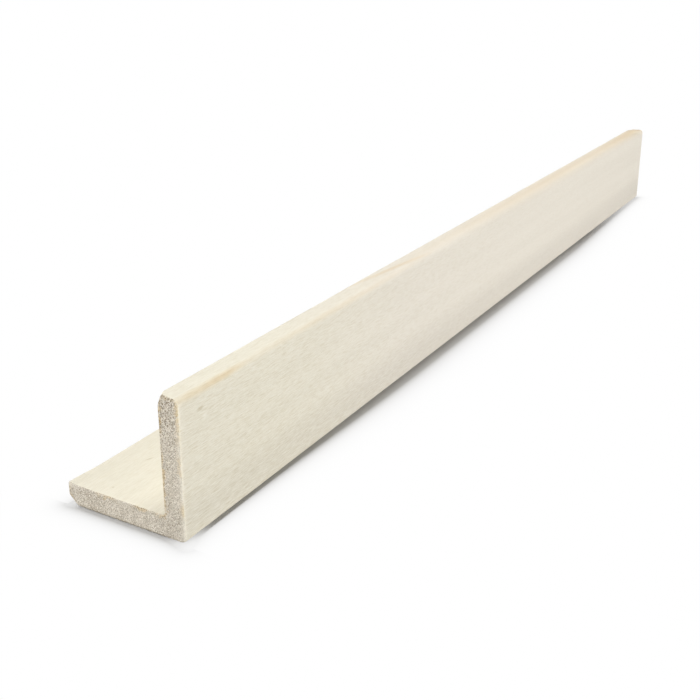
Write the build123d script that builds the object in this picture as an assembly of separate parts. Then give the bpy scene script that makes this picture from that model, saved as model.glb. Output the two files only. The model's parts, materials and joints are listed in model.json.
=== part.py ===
from build123d import *
import os

# Outside corner trim: one length of pale, fine-grained wood, planed to an L section and sawn
# square at both ends. It lies as it would unheld on a floor: one leg flat, the other upright
# along the +X side. Its length runs along Y, and the origin is on the floor under its middle.

# Driving dimensions, in millimetres
trim_length = 470.0
lying_leg_width = 45.0
upright_leg_height = 46.0
leg_thickness = 7.4

# Edges of the section, in millimetres
arris_radius = 2.0  # outside corner, where the two legs meet
upright_tip_fall = 0.7  # the upright leg's tip slopes down by this much to its outer edge
upright_tip_radius = 2.4  # outer edge of the upright leg's tip
upright_tip_ease = 0.8  # inner edge of the upright leg's tip
root_fillet = 1.4  # inside corner, as the cutter leaves it
lying_tip_ease = 0.4  # inner edge of the lying leg's tip
lying_tip_bevel = 3.2  # bevel along the outer edge of the lying leg's tip
bevel_ease = 1.0  # where that bevel runs out into the tip and the underside


def trim_section():
    """The L section across the length, as corners and the radius of each, from the arris round."""
    outer_face = lying_leg_width / 2
    inner_face = outer_face - leg_thickness
    lying_tip = outer_face - lying_leg_width
    corners = [
        ((outer_face, 0), arris_radius),
        ((outer_face, upright_leg_height - upright_tip_fall), upright_tip_radius),
        ((inner_face, upright_leg_height), upright_tip_ease),
        ((inner_face, leg_thickness), root_fillet),
        ((lying_tip, leg_thickness), lying_tip_ease),
        ((lying_tip, lying_tip_bevel), bevel_ease),
        ((lying_tip + lying_tip_bevel, 0), bevel_ease),
    ]
    points, radii = zip(*corners)
    outline = FilletPolyline(*points, radius=radii, close=True)
    return make_face(Plane.XZ * outline)


# The section runs unchanged from one sawn end to the other, half the length each way
corner_trim = extrude(trim_section(), amount=trim_length / 2, both=True)
corner_trim.label = "corner_trim"

box = corner_trim.bounding_box()
print(f"corner trim {box.size.X:.2f} x {box.size.Y:.2f} x {box.size.Z:.2f} mm")
print(f"section {corner_trim.volume / trim_length:.2f} mm2, volume {corner_trim.volume / 1000:.2f} cm3")

os.makedirs("parts", exist_ok=True)
export_step(corner_trim, "parts/corner_trim.step")
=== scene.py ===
# %% [markdown]
# An outside corner trim is one length of wood, planed to an L section and sawn off square at both
# ends. There is only one piece to dress, so the lesson is about making one plain thing look real:
# a mesh that has the softened edges and the slight unevenness of a planed stick, and wood that is
# one solid from face to end, so that the lines along its length come out as dots on the sawn end.

# %% Load the frame
import json
import math

import bpy
import numpy as np
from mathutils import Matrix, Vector, noise


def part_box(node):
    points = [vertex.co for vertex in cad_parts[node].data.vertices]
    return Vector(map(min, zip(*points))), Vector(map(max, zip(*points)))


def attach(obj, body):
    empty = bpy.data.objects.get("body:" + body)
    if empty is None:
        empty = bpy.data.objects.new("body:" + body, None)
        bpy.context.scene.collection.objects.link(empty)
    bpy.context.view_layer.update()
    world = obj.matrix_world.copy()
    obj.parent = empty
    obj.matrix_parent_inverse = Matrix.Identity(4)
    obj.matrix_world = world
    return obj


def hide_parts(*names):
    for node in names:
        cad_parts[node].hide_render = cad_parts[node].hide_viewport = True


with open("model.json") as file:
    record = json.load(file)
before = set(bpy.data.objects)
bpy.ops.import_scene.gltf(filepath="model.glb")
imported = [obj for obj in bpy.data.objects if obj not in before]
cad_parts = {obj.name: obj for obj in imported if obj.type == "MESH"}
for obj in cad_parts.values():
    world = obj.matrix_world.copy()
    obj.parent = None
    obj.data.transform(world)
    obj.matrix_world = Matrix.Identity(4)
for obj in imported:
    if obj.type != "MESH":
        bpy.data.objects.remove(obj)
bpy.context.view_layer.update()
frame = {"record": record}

box_low, box_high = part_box("corner_trim")
print("trim box, metres:", [round(value, 4) for value in box_high - box_low])

# %% [markdown]
# Every later size comes from the frame. The box gives the reach of the two legs and the length, and
# the record says at what height a wall sits on the lying leg, which is the thickness of the stock.
# Only the small sizes of the edges are written again here, in metres, because no box can show them.
# The tip of the upright leg falls to the outside, and its round takes a little off the full height.

# %% Sizes of the section
mounts = {mount["name"]: mount for mount in frame["record"]["mounts"]}
thickness = mounts["lying_leg_wall_face"]["pos_m"][2]
outer_face = box_high.x
inner_face = outer_face - thickness
lying_tip = box_low.x
near_end = box_low.y
far_end = box_high.y

arris_radius = 0.0020
upright_tip_fall = 0.0007
upright_tip_radius = 0.0024
upright_tip_ease = 0.0008
root_fillet = 0.0014
lying_tip_ease = 0.0004
lying_tip_bevel = 0.0032
bevel_ease = 0.0010
tip_slope = upright_tip_fall / thickness
upright_tip = box_high.z + upright_tip_ease * (tip_slope + math.hypot(1, tip_slope) - 1)
print(f"legs {thickness * 1000:.1f} mm thick, length {(far_end - near_end) * 1000:.0f} mm")

# %% [markdown]
# The section could be a curve that is swept along, but then its end would be one big flat polygon
# that no detail can live on. So the outline is worked out point by point. It has seven corners, and
# each gets an arc of its own, because no edge of a planed stick is quite sharp.

# %% Corners of the section
arc_steps = 24


def rounded(before, corner, after, radius):
    """Points of the arc that rounds a corner, from the side of before to the side of after."""
    corner = np.array(corner)
    to_before = np.array(before) - corner
    to_after = np.array(after) - corner
    to_before = to_before / np.linalg.norm(to_before)
    to_after = to_after / np.linalg.norm(to_after)
    half = 0.5 * math.acos(float(to_before @ to_after))
    bisector = (to_before + to_after) / np.linalg.norm(to_before + to_after)
    centre = corner + bisector * radius / math.sin(half)
    start = corner + to_before * radius / math.tan(half) - centre
    end = corner + to_after * radius / math.tan(half) - centre
    sweep = math.pi - 2 * half
    steps = np.linspace(0, 1, arc_steps + 1)[:, None]
    return centre + (start * np.sin((1 - steps) * sweep) + end * np.sin(steps * sweep)) / math.sin(sweep)


arris = (outer_face, 0.0)
outer_top = (outer_face, upright_tip - upright_tip_fall)
inner_top = (inner_face, upright_tip)
root = (inner_face, thickness)
lying_top = (lying_tip, thickness)
bevel_high = (lying_tip, lying_tip_bevel)
bevel_low = (lying_tip + lying_tip_bevel, 0.0)

arris_arc = rounded(bevel_low, arris, outer_top, arris_radius)
outer_top_arc = rounded(arris, outer_top, inner_top, upright_tip_radius)
inner_top_arc = rounded(outer_top, inner_top, root, upright_tip_ease)
root_arc = rounded(inner_top, root, lying_top, root_fillet)
lying_top_arc = rounded(root, lying_top, bevel_high, lying_tip_ease)
bevel_high_arc = rounded(lying_top, bevel_high, bevel_low, bevel_ease)
bevel_low_arc = rounded(bevel_high, bevel_low, arris, bevel_ease)
print("points on each rounded corner:", len(arris_arc))

# %% [markdown]
# The trim is treated as a bent plank: an outside path and an inside path run from the tip of the
# lying leg to the tip of the upright leg, and every point of one has a partner on the other. Rows of
# points between partners give the sawn ends a fine grid of quads. Each path is split at the middle
# of its bend, so that the partners stay level with each other.

# %% Paths round the section
bevel_middle = 0.5 * (np.array(bevel_high) + np.array(bevel_low))
middle = arc_steps // 2
outer_lying = np.vstack([bevel_middle, bevel_low_arc, arris_arc[:middle + 1]])
outer_upright = np.vstack([arris_arc[middle:], outer_top_arc[:middle + 1]])
inner_lying = np.vstack([root_arc[middle:], lying_top_arc[:middle + 1]])[::-1]
inner_upright = np.vstack([inner_top_arc[middle:], root_arc[:middle + 1]])[::-1]
upright_tip_edge = np.vstack([outer_top_arc[middle:], inner_top_arc[:middle + 1]])
lying_tip_edge = np.vstack([lying_top_arc[middle:], bevel_high_arc, bevel_middle])[::-1]
print("bend of the outside path, mm:", (outer_upright[0] * 1000).round(2))

# %% [markdown]
# The paths are now resampled. Points stand closer together on the arcs, where the light turns, and
# further apart on the flats, so the rounded edges stay smooth without a wasteful number of faces.

# %% Even out the points
columns_per_leg = 128
rows_through = 24
flat_spacing = 0.0012
arc_weight = 4.0


def resampled(path, count):
    """The same path with count intervals, closer together where the drawn points are close."""
    steps = np.linalg.norm(np.diff(path, axis=0), axis=1)
    weighted = np.where(steps < flat_spacing, steps * arc_weight, steps)
    travelled = np.concatenate([[0.0], np.cumsum(weighted)])
    stops = np.linspace(0.0, travelled[-1], count + 1)
    return np.column_stack([np.interp(stops, travelled, path[:, axis]) for axis in (0, 1)])


def both_legs(lying_path, upright_path):
    """One path along both legs, with the point that they share counted once."""
    lying_half = resampled(lying_path, columns_per_leg)
    return np.vstack([lying_half[:-1], resampled(upright_path, columns_per_leg)])


outside = both_legs(outer_lying, outer_upright)
inside = both_legs(inner_lying, inner_upright)
tip_at_start = resampled(lying_tip_edge, rows_through)
tip_at_finish = resampled(upright_tip_edge, rows_through)
columns = len(outside)
rows = rows_through + 1
print("section grid:", columns, "by", rows, "points")

# %% [markdown]
# A Coons patch fills the section: it blends the two long paths and the two tip edges and takes away
# what was counted twice at the four corners. The result is a grid of points whose rim is the exact
# outline. The rim, walked once round, is what gets swept along the length.

# %% Fill the section
along = np.linspace(0, 1, columns)[:, None, None]
through = np.linspace(0, 1, rows)[None, :, None]
from_paths = (1 - through) * outside[:, None] + through * inside[:, None]
from_tips = (1 - along) * tip_at_start[None] + along * tip_at_finish[None]
from_corners = (
    (1 - along) * (1 - through) * outside[0] + along * (1 - through) * outside[-1]
    + (1 - along) * through * inside[0] + along * through * inside[-1]
)
section = from_paths + from_tips - from_corners

rim_index = [(column, 0) for column in range(columns)]
rim_index += [(columns - 1, row) for row in range(1, rows)]
rim_index += [(column, rows - 1) for column in range(columns - 2, -1, -1)]
rim_index += [(0, row) for row in range(rows - 2, 0, -1)]
rim = np.array([section[place] for place in rim_index])
rim_tangent = np.roll(rim, -1, axis=0) - np.roll(rim, 1, axis=0)
rim_tangent /= np.linalg.norm(rim_tangent, axis=1)[:, None]
rim_inward = np.column_stack([-rim_tangent[:, 1], rim_tangent[:, 0]])
print("points round the rim:", len(rim))

# %% [markdown]
# Along the length the stations crowd together at the sawn ends. There a saw leaves an edge that is
# not quite sharp: the fibres bend and crumble, so the first rings draw the rim in on a small round
# whose size wavers from point to point. Past the ends the stations grow further apart.

# %% Stations along the length
end_round_steps = 5
first_gap = 0.00025
gap_growth = 1.16
widest_gap = 0.0058
half_length = 0.5 * (far_end - near_end)
end_round = 0.00042

round_angles = np.linspace(0, 0.5 * math.pi, end_round_steps + 1)
depths = [end_round * (1 - math.cos(angle)) for angle in round_angles]
gap = first_gap
while depths[-1] + gap < half_length:
    depths.append(depths[-1] + gap)
    gap = min(gap * gap_growth, widest_gap)
depths = np.array(depths)
depths[end_round_steps + 1:] *= half_length / depths[-1]
stations = np.concatenate([near_end + depths, (far_end - depths[:-1])[::-1]])
print("stations:", len(stations), "closest", round(float(np.diff(stations).min()) * 1e6), "micrometres")

# %% [markdown]
# Noise gives the stick the slight unevenness that planing and sanding leave: a long wave that the
# eye only feels, soft ridges of grain a few hundredths of a millimetre high, and edges that were
# eased by hand, a little more here and a little less there. All of it only takes wood away, because
# the trim must stay inside its box.

# %% Unevenness
wave_depth = 0.00010
wave_reach = 0.110
grain_depth = 0.00003
grain_width = 0.0011
grain_reach = 0.060
wear_depth = 0.00022
wear_reach = 0.018
wear_aside = 7.0
full_wear_radius = 0.0006
smallest_step = 1e-9

rim_turn = np.arccos(np.clip((rim_tangent * np.roll(rim_tangent, 1, axis=0)).sum(1), -1, 1))
rim_step = np.linalg.norm(rim - np.roll(rim, 1, axis=0), axis=1)
rim_curve = np.clip(rim_turn / np.maximum(rim_step, smallest_step) * full_wear_radius, 0, 1)


def waver(x, y, z):
    """Smooth noise from 0 to 1 at a point."""
    return 0.5 + 0.5 * noise.noise(Vector((x, y, z)))


def taken_off(point, curve, y):
    """How much wood the plane and the sandpaper took off at a point of the rim, in metres."""
    x, z = point
    wave = wave_depth * waver(x / wave_reach, y / wave_reach, z / wave_reach)
    grain = grain_depth * waver(x / grain_width, y / grain_reach, z / grain_width)
    wear = wear_depth * curve * waver(x / wear_reach + wear_aside, y / wear_reach, z / wear_reach)
    return wave + grain + wear


deepest = max(taken_off(point, curve, near_end) for point, curve in zip(rim, rim_curve))
print("most taken off at the near end, mm:", round(deepest * 1000, 3))

# %% [markdown]
# The sawn edges were handled most. The edges from the ends to the outer face and the underside are
# worn to a wider round than the others, which leaves a thin dark gap over the floor. Three corners
# were knocked: at the near end the tip of the upright leg lost a chip on its inner side and the tip
# of the lying leg was bent up a little, and at the far end the tip of the upright leg is worn down.
# Each knock moves the points round a corner of the section, by less the further they are from it
# across the section and along the length.

# %% Worn ends
nick_share = 0.55
nick_reach = 0.0016
worn_round = 0.0011
knocks = [
    (inner_top, near_end, (0.00115, 0.0), 0.0042, 0.0028),
    (lying_top, near_end, (0.0, 0.0006), 0.0040, 0.014),
    (inner_top, far_end, (0.0, -0.0013), 0.0120, 0.014),
]


def fade(distance, reach):
    """1 at no distance, falling smoothly to 0 at the reach."""
    share = min(1.0, distance / reach)
    return 1 - share * share * (3 - 2 * share)


def rounded_off(depth, radius):
    """How far a round of a radius draws the rim in at a depth behind the sawn face."""
    left = max(0.0, 1 - depth / radius)
    return radius * (1 - math.sqrt(1 - left * left))


def moved_point(place, y):
    """Where a point of the rim goes at a station, in X and Z."""
    point = rim[place]
    depth = min(y - near_end, far_end - y)
    cut = taken_off(point, rim_curve[place], y)
    if depth < worn_round:
        worn_side = max(0.0, -rim_inward[place][0]) ** 2 + max(0.0, rim_inward[place][1]) ** 2
        radius = end_round + (worn_round - end_round) * worn_side
        nick = 1 - nick_share * waver(point[0] / nick_reach, y / half_length, point[1] / nick_reach)
        cut += nick * rounded_off(depth, radius)
    moved = point + rim_inward[place] * cut
    for corner, end, move, reach, length in knocks:
        share = fade(math.dist(point, corner), reach) * fade(abs(y - end), length)
        moved = moved + share * np.array(move)
    return moved


rings = []
for y in stations:
    ring = [moved_point(place, y) for place in range(len(rim))]
    rings.append([(x, y, z) for x, z in ring])
rings = np.array(rings)
print("furthest move, mm:", round(float(np.abs(rings[:, :, [0, 2]] - rim).max()) * 1000, 3))

# %% [markdown]
# The sawn ends are filled with the section grid, drawn in by the same amount as the last ring. A fine
# saw leaves no lines that the eye can follow, only a face that is pitted where the wood's tubes were
# cut across. The pits are real geometry here, under a tenth of a millimetre deep.

# %% Sawn ends
pit_depth = 0.00009
pit_width = 0.0007
pit_aside = 5.0
edge_rows = 3


def end_points(ring, facing):
    """The points inside the last ring: the section grid carried along by how its rim moved."""
    moved = {place: ring[index] for index, place in enumerate(rim_index)}
    points = []
    for column in range(1, columns - 1):
        for row in range(1, rows - 1):
            rise = row / (rows - 1)
            shift = (1 - rise) * (moved[column, 0] - np.insert(section[column, 0], 1, 0))
            shift = shift + rise * (moved[column, rows - 1] - np.insert(section[column, rows - 1], 1, 0))
            x, z = section[column, row]
            from_rim = min(column, columns - 1 - column, row, rows - 1 - row)
            pit = waver(x / pit_width, facing * pit_aside, z / pit_width) ** 2
            depth = pit_depth * pit * min(1.0, from_rim / edge_rows)
            points.append((x + shift[0], ring[0][1] - facing * depth, z + shift[2]))
    return points


near_points = end_points(rings[0], -1)
far_points = end_points(rings[-1], 1)
print("points on each sawn end:", len(near_points))

# %% [markdown]
# All points are known, so the faces can be listed in one go. Long faces join each ring to the next,
# and each end joins its grid of points. Two material slots tell planed faces from sawn ends. The
# small round at a sawn edge shows end grain too, so its rings belong to the ends.

# %% Faces of the trim
vertices = np.vstack([rings.reshape(-1, 3), near_points, far_points])
ring_size = len(rim)
faces = []
kinds = []
for station in range(len(stations) - 1):
    rounded_edge = min(station, len(stations) - 2 - station) < end_round_steps - 1
    kinds += [int(rounded_edge)] * ring_size
    here = station * ring_size
    there = here + ring_size
    for place in range(ring_size):
        follow = (place + 1) % ring_size
        faces.append((here + place, there + place, there + follow, here + follow))


def end_faces(ring_start, inner_start, flip):
    """The quads of one sawn end, turned to face outward."""
    number = {place: ring_start + index for index, place in enumerate(rim_index)}
    inner = inner_start
    for column in range(1, columns - 1):
        for row in range(1, rows - 1):
            number[column, row] = inner
            inner += 1
    quads = []
    for column in range(columns - 1):
        for row in range(rows - 1):
            near_pair = [number[column, row], number[column + 1, row]]
            quad = near_pair + [number[column + 1, row + 1], number[column, row + 1]]
            quads.append(quad[::-1] if flip else quad)
    return quads


ring_points = len(stations) * ring_size
faces += end_faces(0, ring_points, False)
faces += end_faces(ring_points - ring_size, ring_points + len(near_points), True)
print("faces:", len(faces), "triangles:", 2 * len(faces))

# %% [markdown]
# The lists become one mesh object. Smooth shading hides the quads, which are small enough on the
# rounds for the light to turn evenly.

# %% The trim as an object
mesh = bpy.data.meshes.new("corner_trim_wood")
mesh.from_pydata(vertices.tolist(), [], faces)
mesh.polygons.foreach_set("use_smooth", [True] * len(faces))
mesh.polygons.foreach_set("material_index", kinds + [1] * (len(faces) - len(kinds)))
mesh.update()
trim = bpy.data.objects.new("corner_trim_wood", mesh)
bpy.context.scene.collection.objects.link(trim)
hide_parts("corner_trim")
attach(trim, "root")
print("points in the mesh:", len(mesh.vertices))

# %% [markdown]
# A shader can't know how far a point is from a sawn edge, but the mesh can tell it. The distance is
# stored on every point as an attribute: along the length on the long faces, and to the nearest point
# of the rim on the two ends. Both kinds of surface use it for the torn fibres at the edge.

# %% Distance from the sawn edges
from_ends = np.minimum(stations - near_end, far_end - stations)
gaps = [np.repeat(from_ends, ring_size)]
for points, ring in ((near_points, rings[0]), (far_points, rings[-1])):
    outline = ring[:, [0, 2]]
    flat_points = np.array(points)[:, [0, 2]]
    gaps.append(np.array([np.linalg.norm(outline - point, axis=1).min() for point in flat_points]))
edge_gap = mesh.attributes.new("edge_gap", "FLOAT", "POINT")
edge_gap.data.foreach_set("value", np.concatenate(gaps).astype(np.float32))
print("furthest from the rim on an end, mm:", round(float(gaps[1].max()) * 1000, 2))

# %% [markdown]
# Materials are nodes. They could be put together by hand in the Shader Editor, but a script can be
# read and run again, and a few short helpers keep it readable. One makes a node and sets what it
# needs, one joins a value or another node's output to an input, and three more do sums with them.

# %% Helpers for nodes


def add(tree, kind, **settings):
    """A new shader node of a kind, with some of its settings."""
    made = tree.nodes.new("ShaderNode" + kind)
    for name, value in settings.items():
        setattr(made, name, value)
    return made


def feed(tree, socket, value):
    """Joins an output to an input, or sets the input to a plain value."""
    if isinstance(value, bpy.types.NodeSocket):
        tree.links.new(value, socket)
    else:
        socket.default_value = value


def maths(tree, operation, *values):
    """The output of a Math node."""
    made = add(tree, "Math", operation=operation)
    for socket, value in zip(made.inputs, values):
        feed(tree, socket, value)
    return made.outputs["Value"]


def vectors(tree, operation, *values):
    """The output of a Vector Math node, a number for lengths and dot products."""
    made = add(tree, "VectorMath", operation=operation)
    for socket, value in zip(made.inputs, values):
        feed(tree, socket, value)
    return made.outputs["Value" if operation in ("DOT_PRODUCT", "LENGTH") else "Vector"]


def ramp(tree, value, low, high, to_low=0.0, to_high=1.0):
    """A value carried smoothly from one range to another and held at the ends."""
    made = add(tree, "MapRange", interpolation_type="SMOOTHSTEP")
    for socket, number in zip(made.inputs, (value, low, high, to_low, to_high)):
        feed(tree, socket, number)
    return made.outputs["Result"]


print("node helpers ready")

# %% [markdown]
# The effects that both kinds of surface share are node groups, so that face and end are cut from one
# wood. What a group gives depends on the place in the solid or on the stored distance, so the trim
# needs no unwrapping. Most of them are made of noise, drawn out along the length as the grain is.

# %% Helpers for groups
noise_range = (0.3, 0.7)


def new_group(name, inputs, outputs):
    """An empty node group with named inputs and outputs."""
    tree = bpy.data.node_groups.new(name, "ShaderNodeTree")
    for label, kind, value in inputs:
        socket = tree.interface.new_socket(label, in_out="INPUT", socket_type="NodeSocket" + kind)
        socket.default_value = value
    for label in outputs:
        tree.interface.new_socket(label, in_out="OUTPUT", socket_type="NodeSocketFloat")
    return tree, tree.nodes.new("NodeGroupInput").outputs, tree.nodes.new("NodeGroupOutput").inputs


def places(tree):
    """Places on the trim or the floor, in metres of the shared frame."""
    return add(tree, "TexCoord").outputs["Object"]


def stretched(tree, across, run):
    """Places on the trim, counted in one size across the grain and another along it."""
    sizes = add(tree, "CombineXYZ")
    for axis, size in (("X", across), ("Y", run), ("Z", across)):
        feed(tree, sizes.inputs[axis], size)
    return vectors(tree, "DIVIDE", places(tree), sizes.outputs["Vector"])


def noise_at(tree, where, detail):
    """A Noise texture of size 1 at some places."""
    made = add(tree, "TexNoise", noise_dimensions="3D")
    feed(tree, made.inputs["Vector"], where)
    feed(tree, made.inputs["Scale"], 1.0)
    feed(tree, made.inputs["Detail"], detail)
    return made.outputs


def fine_noise(tree, fineness, detail):
    """Noise over the trim, with a number of waves to the metre along X, Y and Z."""
    return noise_at(tree, vectors(tree, "MULTIPLY", places(tree), fineness), detail)


print("group helpers ready, noise taken from", noise_range[0], "to", noise_range[1])

# %% [markdown]
# Wood is a bundle of tubes. Seen from the side, the larger tubes, or vessels, are fine dashes along
# the grain, and sawn across they are pores. A cell texture stretched along the length makes both at
# once: its cells are needles, dashes where a face runs along them and dots where the saw cut them.
# A second set of cells, moved aside, gives the pale fibres between. A fine stretched noise is the
# silky streaking that is too small to see line by line.

# %% Vessels and fibres
vessels, given, result = new_group(
    "vessels",
    [
        ("Spacing", "Float", 0.0007),
        ("Run", "Float", 0.011),
        ("Size", "Float", 0.3),
        ("Softness", "Float", 0.1),
    ],
    ["Dark", "Pale", "Fibre"],
)
needles = stretched(vessels, given["Spacing"], given["Run"])
smallest = maths(vessels, "SUBTRACT", given["Size"], given["Softness"])
largest = maths(vessels, "ADD", given["Size"], given["Softness"])
pale_aside = (17.3, 5.9, 31.7)
for label, aside in (("Dark", (0.0, 0.0, 0.0)), ("Pale", pale_aside)):
    cells = add(vessels, "TexVoronoi", feature="F1", voronoi_dimensions="3D")
    feed(vessels, cells.inputs["Scale"], 1.0)
    feed(vessels, cells.inputs["Vector"], vectors(vessels, "ADD", needles, aside))
    feed(vessels, result[label], ramp(vessels, cells.outputs["Distance"], largest, smallest))
fibre_fineness = (1.5, 5.0, 1.5)
fine_needles = vectors(vessels, "MULTIPLY", needles, fibre_fineness)
feed(vessels, result["Fibre"], noise_at(vessels, fine_needles, 3.0)[0])
print("group:", vessels.name)

# %% [markdown]
# A tree adds a layer every year, and a board shows them as broad bands of slightly different tone
# that follow its length. Stretched noise is enough for such a quiet wood. It is worked out in the
# solid, so a band on the upright leg runs on over the edge and comes out on the end as well.

# %% Growth layers
layers, given, result = new_group(
    "growth_layers", [("Band", "Float", 0.006), ("Run", "Float", 0.2)], ["Tone"]
)
bands = noise_at(layers, stretched(layers, given["Band"], given["Run"]), 2.0)
feed(layers, result["Tone"], ramp(layers, bands[0], *noise_range))
print("group:", layers.name)

# %% [markdown]
# Single marks make a stick a particular one: a tan streak where a darker layer runs out at an edge,
# a pin knot, a scratch. Each is a soft ellipsoid in the solid wood with a middle, a direction, a half
# length and a half width. A little noise bends it, so that it doesn't look drawn. The helper spot
# places one mark in a material and gives back its mask.

# %% Marks in the wood
along_trim = (0.0, 1.0, 0.0)
across_trim = (1.0, 0.0, 0.0)
mark, given, result = new_group(
    "mark",
    [
        ("Middle", "Vector", (0.0, 0.0, 0.0)),
        ("Along", "Vector", along_trim),
        ("Half length", "Float", 0.01),
        ("Half width", "Float", 0.001),
        ("Waver", "Float", 0.0),
    ],
    ["Mask"],
)
bend_fineness = (260.0, 60.0, 260.0)
bend = fine_noise(mark, bend_fineness, 2.0)["Color"]
sway = vectors(mark, "SCALE", vectors(mark, "SUBTRACT", bend, (0.5, 0.5, 0.5)))
feed(mark, sway.node.inputs["Scale"], given["Waver"])
from_middle = vectors(mark, "SUBTRACT", vectors(mark, "ADD", places(mark), sway), given["Middle"])
lengthwise = vectors(mark, "DOT_PRODUCT", from_middle, given["Along"])
on_axis = vectors(mark, "SCALE", given["Along"])
feed(mark, on_axis.node.inputs["Scale"], lengthwise)
sideways = vectors(mark, "LENGTH", vectors(mark, "SUBTRACT", from_middle, on_axis))
shares = add(mark, "CombineXYZ")
feed(mark, shares.inputs["X"], maths(mark, "DIVIDE", lengthwise, given["Half length"]))
feed(mark, shares.inputs["Y"], maths(mark, "DIVIDE", sideways, given["Half width"]))
feed(mark, result["Mask"], ramp(mark, vectors(mark, "LENGTH", shares.outputs["Vector"]), 1.0, 0.0))


def use(tree, group, **values):
    """A group placed in a material with its own values."""
    made = add(tree, "Group", node_tree=group)
    for name, value in values.items():
        feed(tree, made.inputs[name.replace("_", " ").capitalize()], value)
    return made.outputs


def spot(tree, where, half_long, half_wide, way=along_trim, bend=0.0):
    """The mask of one mark in a material."""
    sizes = {"half_length": half_long, "half_width": half_wide, "waver": bend}
    return use(tree, mark, middle=where, along=way, **sizes)["Mask"]


print("group:", mark.name)

# %% [markdown]
# Where the saw leaves the wood, fibres are torn and bent over. This shows as a thin tan rim on the
# end and on the first millimetre of the faces. The distance that the mesh carries says how near the
# edge a point is. Fine noise makes the rim ragged, and slow noise makes it come and go.

# %% Sawn edges
sawn_edge, given, result = new_group(
    "sawn_edge", [("Width", "Float", 0.0007), ("Ragged", "Float", 1.0)], ["Mask"]
)
torn_fineness = (900.0, 900.0, 900.0)
slow_fineness = (130.0, 130.0, 130.0)
coming_range = (0.40, 0.68)
swing_widths = 4.0
full_rim = 0.0001
gap_read = add(sawn_edge, "Attribute", attribute_name="edge_gap", attribute_type="GEOMETRY")
torn = fine_noise(sawn_edge, torn_fineness, 2.0)[0]
swing = maths(sawn_edge, "MULTIPLY", maths(sawn_edge, "SUBTRACT", torn, 0.5), given["Ragged"])
swing = maths(sawn_edge, "MULTIPLY", maths(sawn_edge, "MULTIPLY", swing, swing_widths), given["Width"])
frayed_gap = maths(sawn_edge, "ADD", gap_read.outputs["Fac"], swing)
rim_near = ramp(sawn_edge, frayed_gap, given["Width"], full_rim)
coming = ramp(sawn_edge, fine_noise(sawn_edge, slow_fineness, 1.0)[0], *coming_range)
feed(sawn_edge, result["Mask"], maths(sawn_edge, "MULTIPLY", rim_near, coming))
print("group:", sawn_edge.name)

# %% [markdown]
# Rays are thin ribbons that run from the bark to the heart of a tree, across the layers. On a sawn
# end they are short streaks, all leaning one way. Noise does it again, drawn out along the lean and
# measured with two dot products: how far along the lean a point lies, and how far across it.

# %% Rays
ray_lean = math.radians(53.5)
streak_range = (0.35, 0.65)
rays, given, result = new_group(
    "rays", [("Spacing", "Float", 0.0004), ("Reach", "Float", 0.0025)], ["Streak"]
)
lean_along = (math.cos(ray_lean), 0.0, math.sin(ray_lean))
lean_across = (-math.sin(ray_lean), 0.0, math.cos(ray_lean))
measured = add(rays, "CombineXYZ")
for axis, direction, size in (("X", lean_along, "Reach"), ("Z", lean_across, "Spacing")):
    reach = vectors(rays, "DOT_PRODUCT", places(rays), direction)
    feed(rays, measured.inputs[axis], maths(rays, "DIVIDE", reach, given[size]))
leaning = noise_at(rays, measured.outputs["Vector"], 1.0)[0]
feed(rays, result["Streak"], ramp(rays, leaning, *streak_range))
print("group:", rays.name)

# %% [markdown]
# The planed faces are bare, pale wood, silky and matt. A photograph of wood could be laid on, but it
# would not run on from face to end. So the colour is built up in layers, and the first is the growth
# bands, yellower near the near end. Painted shade makes the inside corner a little darker, where shade
# falls in the crease.

# %% Planed faces, the colour of the wood
near_deep = (0.826, 0.780, 0.648, 1.0)
near_light = (0.854, 0.808, 0.676, 1.0)
far_deep = (0.830, 0.777, 0.680, 1.0)
far_light = (0.854, 0.801, 0.704, 1.0)
root_painted_shade = (0.79, 0.78, 0.78, 1.0)
yellow_until = -0.205
yellow_gone = -0.085
root_reach = 0.012
root_core = 0.001


def blend(tree, factor, base, top, how="MIX"):
    """One colour laid over another. Inputs 6 and 7 of a Mix node are its two colours."""
    made = add(tree, "Mix", data_type="RGBA", blend_type=how)
    feed(tree, made.inputs["Factor"], factor)
    feed(tree, made.inputs[6], base)
    feed(tree, made.inputs[7], top)
    return made.outputs[2]


def new_material(name):
    """A new material, its tree and shader, and the places on it split into X, Y and Z."""
    made = bpy.data.materials.new(name)
    made.use_nodes = True
    split = add(made.node_tree, "SeparateXYZ")
    feed(made.node_tree, split.inputs[0], places(made.node_tree))
    return made, made.node_tree, made.node_tree.nodes["Principled BSDF"], split.outputs


planed, tree, planed_shader, at = new_material("planed_face")
tone = use(tree, layers, band=0.005, run=0.16)["Tone"]
nearness = ramp(tree, at["Y"], yellow_until, yellow_gone, 1.0, 0.0)
colour = blend(tree, tone, far_deep, far_light)
colour = blend(tree, nearness, colour, blend(tree, tone, near_deep, near_light))
from_root = vectors(tree, "SUBTRACT", places(tree), (inner_face, 0.0, thickness))
root_gap = vectors(tree, "LENGTH", vectors(tree, "MULTIPLY", from_root, (1.0, 0.0, 1.0)))
# painted shade: the inside corner is made darker where shade falls in the crease
colour = blend(tree, ramp(tree, root_gap, root_reach, root_core), colour, root_painted_shade, "MULTIPLY")
print("planed face, colour:", len(tree.nodes), "nodes")

# %% [markdown]
# The vessels lay fine dashes over that colour, the fibres between them are paler, and a silky
# streaking covers all. The grain shows most at the near end, and less towards the far end, on the
# lying leg and on top of the upright one. One strength, worked out from the place, scales all three.

# %% Planed faces, the grain
vessel_tint = (0.90, 0.875, 0.82, 1.0)
pale_fibre = (0.93, 0.90, 0.80, 1.0)
silk_tint = (0.88, 0.87, 0.84, 1.0)
faint_from = 0.06
faint_share = 0.3
lying_leg_share = 0.5
top_share = 0.6
pale_share = 0.6
silk_share = 0.6
leg_border = (inner_face - 0.001, inner_face)
top_border = (box_high.z - 0.003, box_high.z - 0.001)

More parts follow.
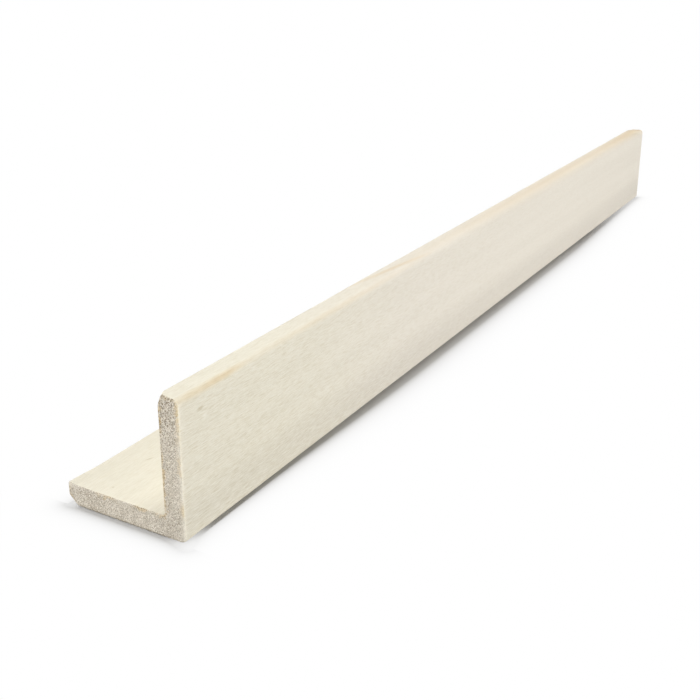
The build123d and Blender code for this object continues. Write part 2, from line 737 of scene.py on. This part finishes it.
grain_strength = ramp(tree, at["Y"], near_end, faint_from, 1.0, faint_share)
lying_leg = ramp(tree, at["X"], *leg_border, lying_leg_share, 1.0)
tip_top = ramp(tree, at["Z"], *top_border, 1.0, top_share)
grain_strength = maths(tree, "MULTIPLY", grain_strength, maths(tree, "MULTIPLY", lying_leg, tip_top))
lines = use(tree, vessels, spacing=0.00032, run=0.0045, size=0.34, softness=0.22)
dashes = maths(tree, "MULTIPLY", lines["Dark"], grain_strength)
colour = blend(tree, dashes, colour, vessel_tint, "MULTIPLY")
fibres = maths(tree, "MULTIPLY", maths(tree, "MULTIPLY", lines["Pale"], grain_strength), pale_share)
colour = blend(tree, fibres, colour, pale_fibre)
silk = ramp(tree, lines["Fibre"], *noise_range, 0.0, silk_share)
silk = maths(tree, "MULTIPLY", silk, grain_strength)
colour = blend(tree, silk, colour, silk_tint, "MULTIPLY")
print("planed face, with its grain:", len(tree.nodes), "nodes")

# %% [markdown]
# Then come the marks of this stick. A tan layer runs out along the outer edge of the upright leg's
# tip, strongest close to the near end. On the top of the tip it closes a long lens shape, and it
# comes back as a warm tint towards the far end, which is partly the wood's own tan and partly painted
# shade that darkens the top there.

# %% Tan streaks
tan_tint = (0.92, 0.82, 0.66, 1.0)
streak_bend = 0.0005
edge_x = outer_face - 0.0007
edge_z = box_high.z - 0.0015
top_x = inner_face + 0.0040
lens_middle = (inner_face + 0.0035, -0.1060, box_high.z - 0.0004)
lens_way = (0.112, 0.994, 0.0)
streaks = [
    ((edge_x, -0.2260, edge_z), along_trim, 0.022, 0.0020, 0.65),
    ((edge_x, -0.2125, edge_z), along_trim, 0.016, 0.0016, 0.75),
    ((edge_x, -0.1500, edge_z + 0.0002), along_trim, 0.090, 0.0017, 0.35),
    (lens_middle, lens_way, 0.055, 0.0015, 0.60),
    # the last two streaks are the wood's tan and also painted shade on the far top
    ((top_x, 0.1000, box_high.z), along_trim, 0.300, 0.0060, 0.65),
    ((top_x, far_end, box_high.z), along_trim, 0.110, 0.0060, 0.80),
]
for centre, way, half_long, half_wide, strength in streaks:
    streak = spot(tree, centre, half_long, half_wide, way, streak_bend)
    colour = blend(tree, maths(tree, "MULTIPLY", streak, strength), colour, tan_tint, "MULTIPLY")
print("tan streaks:", len(streaks))

# %% [markdown]
# Three small blemishes are left: a pin knot with a pale fleck beside it on the outer face, and a dot
# and a short scratch on the lying leg. The sawn edges get their tan line last, over everything.

# %% Small blemishes
knot_colour = (0.48, 0.40, 0.22, 1.0)
edge_tint = (0.93, 0.88, 0.72, 1.0)
edge_share = 0.3
knot_bend = 0.0012
scratch_way = (0.344, 0.939, 0.0)

knot = spot(tree, (outer_face, -0.2254, 0.0391), 0.0020, 0.0010, bend=knot_bend)
fleck = spot(tree, (outer_face, -0.2236, 0.0363), 0.0018, 0.0008)
dot = spot(tree, (-0.0088, -0.2301, thickness), 0.0006, 0.0005)
scratch = spot(tree, (-0.0110, -0.2109, thickness), 0.0026, 0.0005, scratch_way)
blemishes = [
    (knot, 0.38, knot_colour),
    (fleck, 0.60, pale_fibre),
    (dot, 0.50, knot_colour),
    (scratch, 0.55, knot_colour),
]
for mask, strength, paint in blemishes:
    colour = blend(tree, maths(tree, "MULTIPLY", mask, strength), colour, paint)
edge_line = use(tree, sawn_edge, width=0.0010, ragged=0.8)["Mask"]
colour = blend(tree, maths(tree, "MULTIPLY", edge_line, edge_share), colour, edge_tint, "MULTIPLY")
print("planed face, with its marks:", len(tree.nodes), "nodes")

# %% [markdown]
# Bare wood spreads light softly, so the faces are rough and hardly shine. A bump stands in for relief
# that is too fine for the mesh: the fibres are a little proud, and the vessels, the knot and the
# scratch are sunk.

# %% Planed faces, shine and relief
planed_rough = (0.72, 0.85)
planed_shine = 0.25
planed_fibre_height = 0.5
blemish_depth = 3.0
planed_bump = 0.35
planed_bump_depth = 0.00006


def set_wood(tree, shader, colour, hollows, rough, shine):
    """Sets a shader's colour, how rough it is beside and in the hollows, and its shine."""
    feed(tree, shader.inputs["Base Color"], colour)
    feed(tree, shader.inputs["Roughness"], ramp(tree, hollows, 0.0, 1.0, *rough))
    feed(tree, shader.inputs["Specular IOR Level"], shine)


def set_bump(tree, shader, height, strength, depth):
    """Gives a shader a bump of some height."""
    bump = add(tree, "Bump")
    feed(tree, bump.inputs["Height"], height)
    feed(tree, bump.inputs["Strength"], strength)
    feed(tree, bump.inputs["Distance"], depth)
    feed(tree, shader.inputs["Normal"], bump.outputs["Normal"])


set_wood(tree, planed_shader, colour, lines["Dark"], planed_rough, planed_shine)
proud = maths(tree, "MULTIPLY", lines["Fibre"], planed_fibre_height)
sunk = maths(tree, "MULTIPLY", maths(tree, "ADD", scratch, knot), blemish_depth)
relief = maths(tree, "SUBTRACT", maths(tree, "SUBTRACT", proud, lines["Dark"]), sunk)
set_bump(tree, planed_shader, relief, planed_bump, planed_bump_depth)
mesh.materials.append(planed)
print("planed face:", len(tree.nodes), "nodes")

# %% [markdown]
# The sawn ends show the vessels as pores and the rays between them. End grain soaks up light, so it
# is darker and greyer than the faces. Towards the tip of the upright leg the pores are more open, and
# some wider ones come in.

# %% Sawn ends, pores and rays
end_deep = (0.62, 0.560, 0.468, 1.0)
end_light = (0.72, 0.660, 0.563, 1.0)
pore_colour = (0.20, 0.155, 0.095, 1.0)
end_fibre = (0.92, 0.88, 0.79, 1.0)
grit_tint = (0.90, 0.89, 0.87, 1.0)
ray_tint = (0.90, 0.89, 0.87, 1.0)
end_fibre_share = 0.8
opening_heights = (0.020, 0.042)
opening_shares = (0.6, 0.85)
wide_pore_heights = (0.028, 0.040)
wide_pore_share = 0.55

sawn, tree, sawn_shader, at = new_material("sawn_end")
pores = use(tree, vessels, spacing=0.00046, run=0.011, size=0.38, softness=0.17)
wide_pores = use(tree, vessels, spacing=0.0008, run=0.011, size=0.34, softness=0.14)
tone = use(tree, layers, band=0.004, run=0.16)["Tone"]
ray_streaks = use(tree, rays, spacing=0.00042, reach=0.0026)["Streak"]
openness = ramp(tree, at["Z"], *opening_heights, *opening_shares)
tip_only = ramp(tree, at["Z"], *wide_pore_heights, 0.0, wide_pore_share)

colour = blend(tree, tone, end_deep, end_light)
colour = blend(tree, ray_streaks, colour, ray_tint, "MULTIPLY")
colour = blend(tree, maths(tree, "MULTIPLY", pores["Pale"], end_fibre_share), colour, end_fibre)
colour = blend(tree, maths(tree, "MULTIPLY", pores["Dark"], openness), colour, pore_colour)
colour = blend(tree, maths(tree, "MULTIPLY", wide_pores["Dark"], tip_only), colour, pore_colour)
colour = blend(tree, ramp(tree, pores["Fibre"], *noise_range), colour, grit_tint, "MULTIPLY")
print("sawn end, pores and rays:", len(tree.nodes), "nodes")

# %% [markdown]
# An end is not the same all over. Round the outside corner of the near end painted shade makes it a
# little darker. Where the edge to the outer face is worn, and at the bent corner, it is nearly as
# pale as the faces. Torn fibres make a ragged tan rim, except along the bottom edge, which painted
# shade makes dark. Ramps along X and Z find the edges and marks find the corners, so nothing has to
# be painted by hand.

# %% Sawn ends, edges and corners
corner_shade_tint = (0.91, 0.91, 0.91, 1.0)
worn_colour = (0.78, 0.73, 0.62, 1.0)
rim_tint = (0.91, 0.76, 0.50, 1.0)
worn_width = 0.0022
worn_share = 0.68
rim_heights = (0.001, 0.004)
rim_share = 0.75
bottom_shade_heights = (0.0013, 0.0003)
bottom_shade_share = 0.6
unshaded_width = 0.010
arris_corner = (outer_face - 0.003, near_end, 0.003)
bent_corner = (lying_tip, near_end, thickness)

# painted shade: the end is darkened round the outside corner of the near end
corner_shade = spot(tree, arris_corner, 0.014, 0.012, across_trim)
colour = blend(tree, corner_shade, colour, corner_shade_tint, "MULTIPLY")
worn_edge = ramp(tree, at["X"], outer_face - worn_width, outer_face, 0.0, worn_share)
colour = blend(tree, worn_edge, colour, worn_colour)
colour = blend(tree, spot(tree, bent_corner, 0.0045, 0.0018, across_trim), colour, worn_colour)
rim_mask = use(tree, sawn_edge, width=0.0009, ragged=1.0)["Mask"]
rim_strength = maths(tree, "MULTIPLY", rim_mask, ramp(tree, at["Z"], *rim_heights, 0.0, rim_share))
colour = blend(tree, rim_strength, colour, rim_tint, "MULTIPLY")
# painted shade: the lowest millimetre of the end is darkened with the pore colour, away from the outer
# corner
painted_bottom_shade = ramp(tree, at["Z"], *bottom_shade_heights, 0.0, bottom_shade_share)
off_corner = ramp(tree, at["X"], outer_face - unshaded_width, outer_face, 1.0, 0.0)
colour = blend(tree, maths(tree, "MULTIPLY", painted_bottom_shade, off_corner), colour, pore_colour)
print("sawn end, with its edges:", len(tree.nodes), "nodes")

# %% [markdown]
# End grain is rougher to the touch than a planed face, because the pores are open and the fibres
# between them stand up. So the bump is deeper here, and the shine is lower still.

# %% Sawn ends, shine and relief
sawn_rough = (0.80, 0.95)
sawn_shine = 0.2
sawn_fibre_height = 0.6
sawn_bump = 0.6
sawn_bump_depth = 0.00015

set_wood(tree, sawn_shader, colour, pores["Dark"], sawn_rough, sawn_shine)
proud = maths(tree, "MULTIPLY", pores["Fibre"], sawn_fibre_height)
relief = maths(tree, "SUBTRACT", proud, pores["Dark"])
set_bump(tree, sawn_shader, relief, sawn_bump, sawn_bump_depth)
mesh.materials.append(sawn)
print("sawn end:", len(tree.nodes), "nodes")

# %% [markdown]
# The trim lies on a plain sheet, one large square that belongs to the stage and not to the object. It
# is matt and only light grey, so that the shadow close to the trim is deep. The next two steps make
# it white further out.

# %% Floor
floor_half = 3.0
floor_grey = (0.60, 0.60, 0.60, 1.0)
floor_mesh = bpy.data.meshes.new("floor")
turns = ((-1, -1), (1, -1), (1, 1), (-1, 1))
floor_mesh.from_pydata([(floor_half * x, floor_half * y, 0.0) for x, y in turns], [], [(0, 1, 2, 3)])
floor = bpy.data.objects.new("floor", floor_mesh)
bpy.context.scene.collection.objects.link(floor)

white_floor, tree, sheet, at = new_material("white_floor")
feed(tree, sheet.inputs["Base Color"], floor_grey)
feed(tree, sheet.inputs["Roughness"], 1.0)
feed(tree, sheet.inputs["Specular IOR Level"], 0.0)
floor_mesh.materials.append(white_floor)
print("floor:", 2 * floor_half, "m across")

# %% [markdown]
# In a picture taken on a lit white sheet the shadow is a narrow line and all else is white. So to rays
# from the camera or from a reflection the sheet fades to an even white with the distance from the
# trim, and no light is added to the trim for it. Editing the picture afterwards could do it too, but
# only for one view. Towards the two ends the fade starts closer and is quicker: this is painted light
# that thins the shadow where light reaches round. In front of the near end it starts a little later
# again.

# %% Floor, the fade to white
ends_reach = 0.150
fade_starts = (0.0029, -0.0010)
fade_widths = (0.0032, 0.0020)
front_step = 0.0006
front_delay = 0.0018
contact_width = 0.0008

half_box = (0.5 * (outer_face - lying_tip), half_length, 0.0)
past_box = vectors(tree, "SUBTRACT", vectors(tree, "ABSOLUTE", places(tree)), half_box)
from_trim = vectors(tree, "LENGTH", vectors(tree, "MAXIMUM", past_box, (0.0, 0.0, 0.0)))
from_middle = maths(tree, "ABSOLUTE", at["Y"])
ends_from = half_length - ends_reach
# painted light: towards the ends the fade whitens the shadow sooner and faster
fade_start = ramp(tree, from_middle, ends_from, half_length, *fade_starts)
front_start = ramp(tree, at["Y"], near_end - front_step, near_end, front_delay, 0.0)
fade_start = maths(tree, "ADD", fade_start, front_start)
fade_width = ramp(tree, from_middle, ends_from, half_length, *fade_widths)
past_start = maths(tree, "MAXIMUM", maths(tree, "SUBTRACT", from_trim, fade_start), 0.0)
widths_past = maths(tree, "DIVIDE", past_start, fade_width)
shaded = maths(tree, "EXPONENT", maths(tree, "MULTIPLY", widths_past, -1.0))
white = maths(tree, "SUBTRACT", 1.0, shaded)
white = maths(tree, "MULTIPLY", white, ramp(tree, from_trim, 0.0, contact_width))
print("floor, its fade:", len(tree.nodes), "nodes")

# %% [markdown]
# At three corners of the trim the floor in the picture is paler than this fade gives, so painted
# light comes in further there and lightens the shadow. The mark group serves again for these soft
# patches. Then the sheet and the even white are mixed.

# %% Floor, open corners
painted_light_corners = [
    (outer_face + 0.002, near_end, 0.016, 0.012, 0.80),
    (lying_tip, near_end, 0.012, 0.006, 0.40),
    (outer_face + 0.002, far_end, 0.110, 0.030, 0.55),
]


def seen_rays(tree):
    """1 for rays from the camera, off a shine or through something clear, and 0 for all others."""
    path = add(tree, "LightPath")
    seen = maths(tree, "MAXIMUM", path.outputs["Is Camera Ray"], path.outputs["Is Glossy Ray"])
    return maths(tree, "MAXIMUM", seen, path.outputs["Is Transmission Ray"])


# painted light: white patches at three corners that lighten the floor's shadow
for side, end, half_long, half_wide, strength in painted_light_corners:
    painted_light_patch = spot(tree, (side, end, 0.0), half_long, half_wide)
    white = maths(tree, "MAXIMUM", white, maths(tree, "MULTIPLY", painted_light_patch, strength))
even_white = add(tree, "Emission")
mix = add(tree, "MixShader")
feed(tree, mix.inputs["Fac"], maths(tree, "MULTIPLY", seen_rays(tree), white))
feed(tree, mix.inputs[1], sheet.outputs["BSDF"])
feed(tree, mix.inputs[2], even_white.outputs["Emission"])
feed(tree, tree.nodes["Material Output"].inputs["Surface"], mix.outputs["Shader"])
print("floor material:", len(tree.nodes), "nodes")

# %% [markdown]
# The camera stands low, near one end and a little to the right, so that the trim runs away to the
# upper right. The picture looks cropped from a larger one, which a small shift of the lens repeats.

# %% Camera
focal_pixels = 1026.5
frame_pixels = 700
sensor_width = 36.0
middle_above = 60
camera_from_corner = Vector((0.16701, -0.19488, 0.16518))
camera_pitch = math.radians(19.225)
camera_heading = math.radians(30.112)
camera_data = bpy.data.cameras.new("camera")
camera_data.sensor_width = sensor_width
camera_data.lens = focal_pixels / frame_pixels * sensor_width
camera_data.shift_y = -middle_above / frame_pixels
camera = bpy.data.objects.new("camera", camera_data)
camera.location = Vector((outer_face, near_end, 0.0)) + camera_from_corner
camera.rotation_euler = (0.5 * math.pi - camera_pitch, 0.0, camera_heading)
bpy.context.scene.collection.objects.link(camera)
bpy.context.scene.camera = camera
print("lens, mm:", round(camera_data.lens, 2))

# %% [markdown]
# A panel on the upper left and soft light from above leave a narrow dark line of shadow under the
# outer face. Two strips that stand before and behind in line with the trim light the sawn ends and
# thin the shadow out there. A low card on the right lights the outer face and only grazes the floor
# beside it.

# %% Lamps
lamps = [
    ("front_strip", (-0.05, -2.0, 0.86), (-0.05, -0.2, 0.0), (0.05, 0.45), 20.8),
    ("back_strip", (-0.02, 2.0, 1.40), (-0.02, 0.2, 0.0), (0.09, 0.35), 16.0),
    ("near_top", (-0.046, -0.9, 1.0), (-0.046, -0.9, 0.0), (0.12, 0.6), 4.0),
    ("far_top", (-0.25, 0.3, 1.0), (-0.25, 0.3, 0.0), (0.10, 0.6), 1.0),
    ("left_panel", (-0.8, 0.0, 1.0), (0.0, 0.0, 0.02), (1.2, 0.5), 7.4),
    ("right_card", (1.0, 0.02, 0.15), (0.0, 0.0, 0.02), (1.2, 0.24), 7.6),
]
for name, place, aim, size, watts in lamps:
    lamp_data = bpy.data.lights.new(name, "AREA")
    lamp_data.shape = "RECTANGLE"
    lamp_data.size, lamp_data.size_y = size
    lamp_data.energy = watts
    lamp = bpy.data.objects.new(name, lamp_data)
    lamp.location = place
    lamp.rotation_euler = (Vector(aim) - Vector(place)).to_track_quat("-Z", "Y").to_euler()
    bpy.context.scene.collection.objects.link(lamp)
print("lamps:", [lamp[0] for lamp in lamps])

# %% [markdown]
# The world is white to the camera and in reflections, and dim to everything else, so that it fills
# the shadows a little without washing them out. The Standard view shows colours as they were written.

# %% World and view
fill_strength = 0.06
world = bpy.data.worlds.new("studio")
world.use_nodes = True
tree = world.node_tree
background = tree.nodes["Background"]
feed(tree, background.inputs["Color"], (1.0, 1.0, 1.0, 1.0))
feed(tree, background.inputs["Strength"], ramp(tree, seen_rays(tree), 0.0, 1.0, fill_strength, 1.0))
bpy.context.scene.world = world
bpy.context.scene.view_settings.view_transform = "Standard"
print("world:", world.name)
